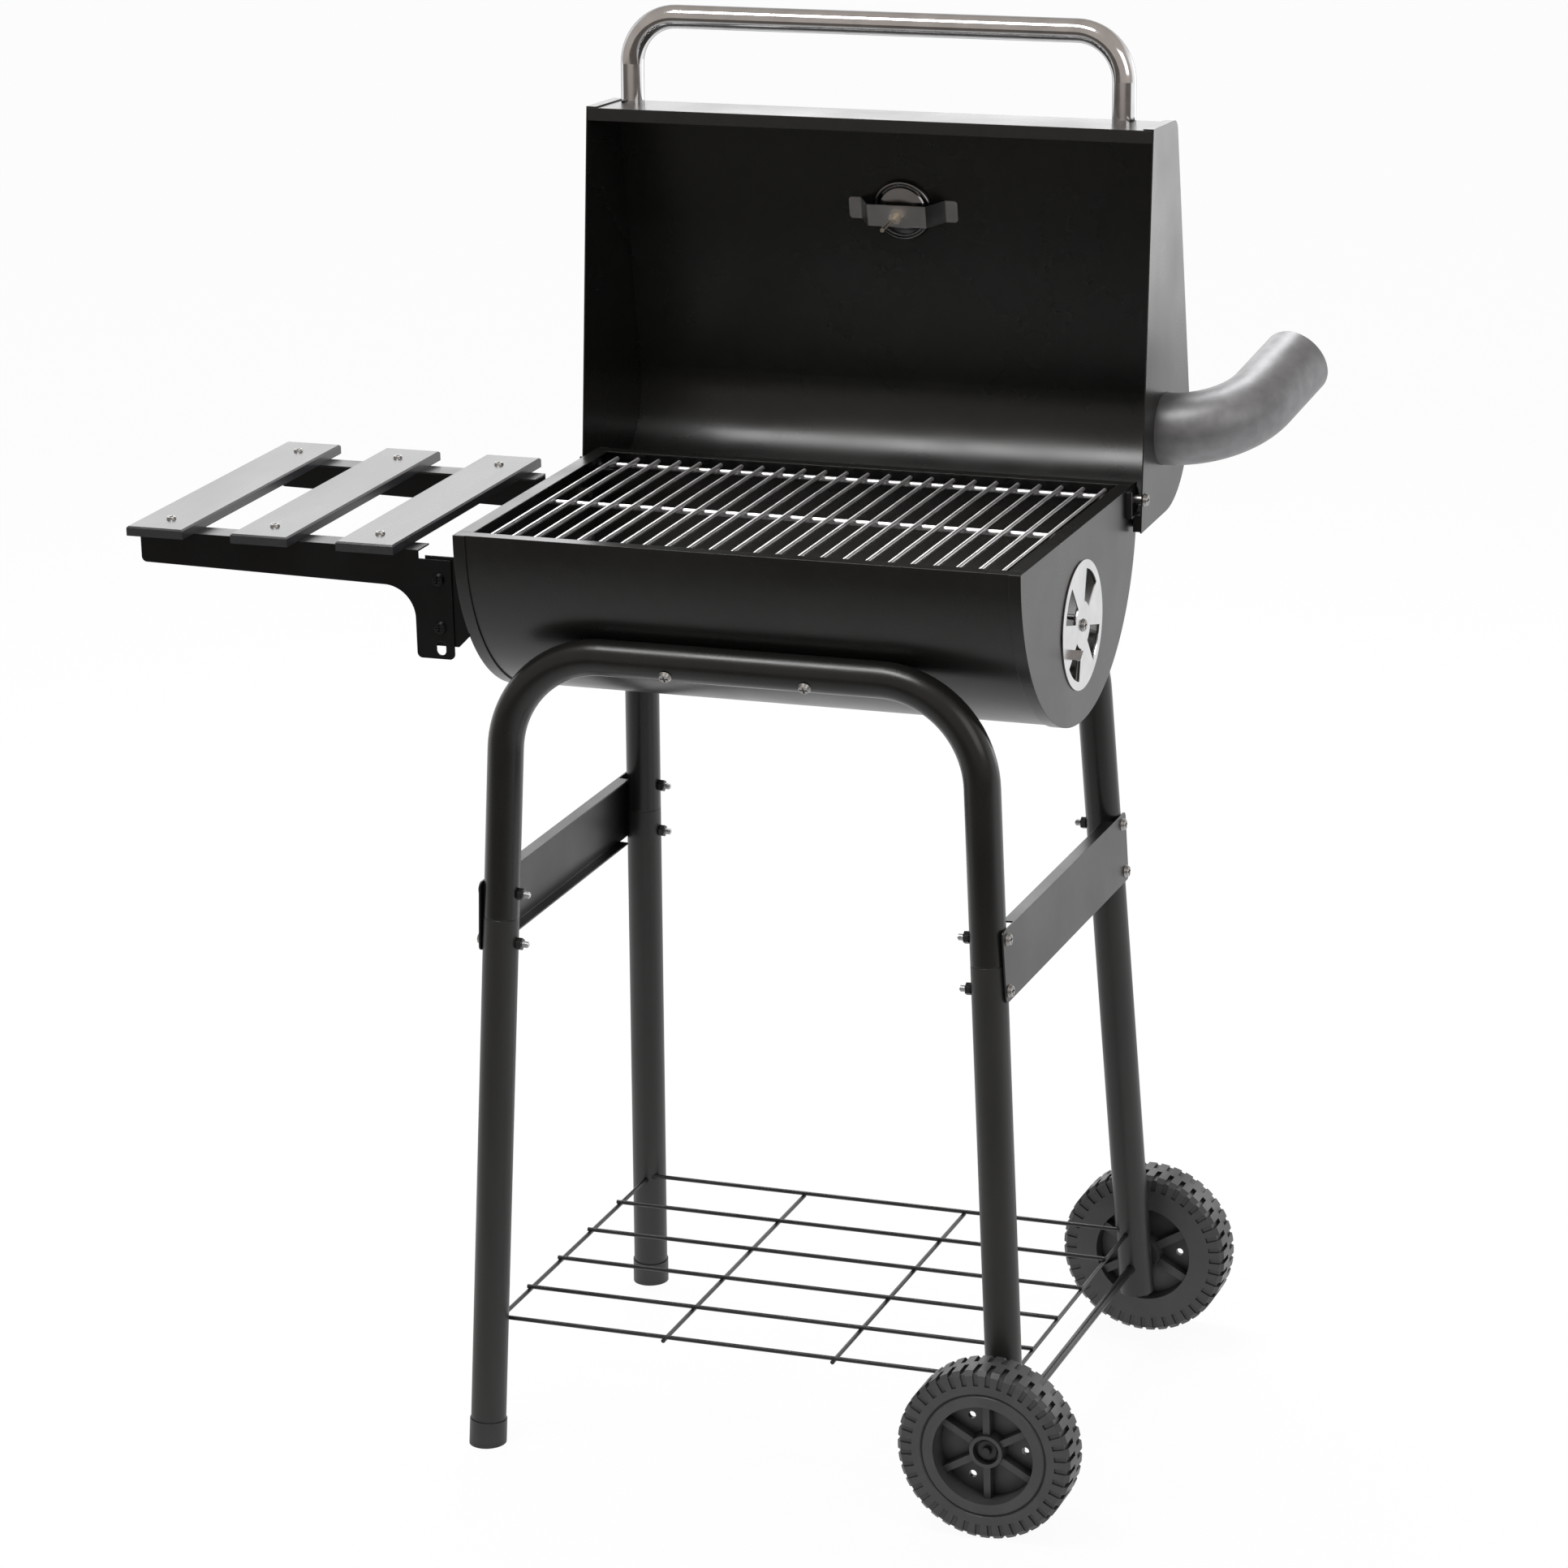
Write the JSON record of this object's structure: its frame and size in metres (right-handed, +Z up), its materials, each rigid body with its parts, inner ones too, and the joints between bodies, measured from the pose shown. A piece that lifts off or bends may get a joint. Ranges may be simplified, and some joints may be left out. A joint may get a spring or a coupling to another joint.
{
  "type": "charcoal barrel grill",
  "caption": "Half-round charcoal grill with a hinged open lid and smoke elbow on a wheeled tube trolley, with a wire shelf below and a slatted side shelf.",
  "frame": {"origin": "on the floor under the middle of the whole grill's bounding box, lid open", "axes": "+X towards the wheels and smoke elbow, +Y towards the back where the lid hinges, +Z up"},
  "size_m": [0.9994, 0.6218, 1.2798],
  "materials": {
    "firebox_paint": "satin black heat-proof paint",
    "lid_paint": "satin black heat-proof paint",
    "frame_paint": "satin black powder coat",
    "bracket_paint": "satin black powder coat",
    "chrome_bar": "polished",
    "chrome_wire": "polished wire",
    "coal_wire": "dull steel wire",
    "vent_steel": "zinc-plated sheet",
    "zinc": "zinc-plated",
    "gauge_steel": "bright pressed steel",
    "dial_white": "matt white",
    "pointer_red": "matt red",
    "lens": "clear",
    "black_wire": "satin black",
    "wheel_plastic": "matt moulded",
    "foot_plastic": "matt moulded",
    "slat_grey": "smooth grey paint"
  },
  "bodies": {
    "trolley": {"firebox_barrel": "firebox_paint", "firebox_end_left": "firebox_paint", "firebox_end_right": "firebox_paint", "grate_rests": "bracket_paint", "charcoal_grate": "coal_wire", "vent_rivet": "zinc", "hinge_plates": "bracket_paint", "hinge_bolts": "zinc", "hinge_nuts": "zinc", "hinge_spacers": "zinc", "front_frame": "frame_paint", "rear_frame": "frame_paint", "leg_front_left": "frame_paint", "leg_rear_left": "frame_paint", "leg_front_right": "frame_paint", "leg_rear_right": "frame_paint", "foot_caps": "foot_plastic", "brace_left": "frame_paint", "brace_right": "frame_paint", "brace_bolts": "zinc", "brace_nuts": "zinc", "frame_bolts": "zinc", "frame_nuts": "zinc", "lower_shelf": "black_wire", "axle": "bracket_paint", "wheel_spacers": "bracket_paint", "axle_retainers": "bracket_paint", "shelf_bracket_front": "bracket_paint", "shelf_bracket_rear": "bracket_paint", "shelf_arm_front": "bracket_paint", "shelf_arm_rear": "bracket_paint", "slat_inner": "slat_grey", "slat_middle": "slat_grey", "slat_outer": "slat_grey", "slat_screws": "zinc", "arm_bolts": "bracket_paint", "bracket_bolts": "zinc"},
    "lid": {"lid_shell": "lid_paint", "lid_end_left": "lid_paint", "lid_end_right": "lid_paint", "lid_handle": "chrome_bar", "handle_screws": "zinc", "chimney": "lid_paint", "gauge_case": "gauge_steel", "gauge_dial": "dial_white", "gauge_lens": "lens", "gauge_stem": "zinc", "gauge_clip": "zinc", "gauge_nut": "zinc"},
    "pointer": {"gauge_pointer": "pointer_red"},
    "vent": {"vent_disc": "vent_steel"},
    "wheel_f": {"wheel_front": "wheel_plastic"},
    "wheel_r": {"wheel_rear": "wheel_plastic"},
    "grate": {"cooking_grate": "chrome_wire"}
  },
  "joints": [
    {"name": "lid_hinge", "type": "hinge", "parent": "trolley", "child": "lid", "pos_m": [0.09529, 0.11857, 0.853], "axis": [1, 0, 0], "range_deg": [0, 93.2]},
    {"name": "pointer_turn", "type": "hinge", "parent": "lid", "child": "pointer", "pos_m": [0.10129, 0.24062, 1.08782], "axis": [0, -0.991, -0.134], "range_deg": [0, 270]},
    {"name": "vent_turn", "type": "hinge", "parent": "trolley", "child": "vent", "pos_m": [0.36229, -0.04313, 0.777], "axis": [1, 0, 0], "continuous": true},
    {"name": "wheel_front_spin", "type": "hinge", "parent": "trolley", "child": "wheel_f", "pos_m": [0.34822, -0.26889, 0.081], "axis": [0, 1, 0], "continuous": true},
    {"name": "wheel_rear_spin", "type": "hinge", "parent": "trolley", "child": "wheel_r", "pos_m": [0.34822, 0.18262, 0.081], "axis": [0, 1, 0], "continuous": true},
    {"name": "grate_lift", "type": "slide", "parent": "trolley", "child": "grate", "axis": [0, 0, 1], "range_m": [0, 0.03]}
  ]
}
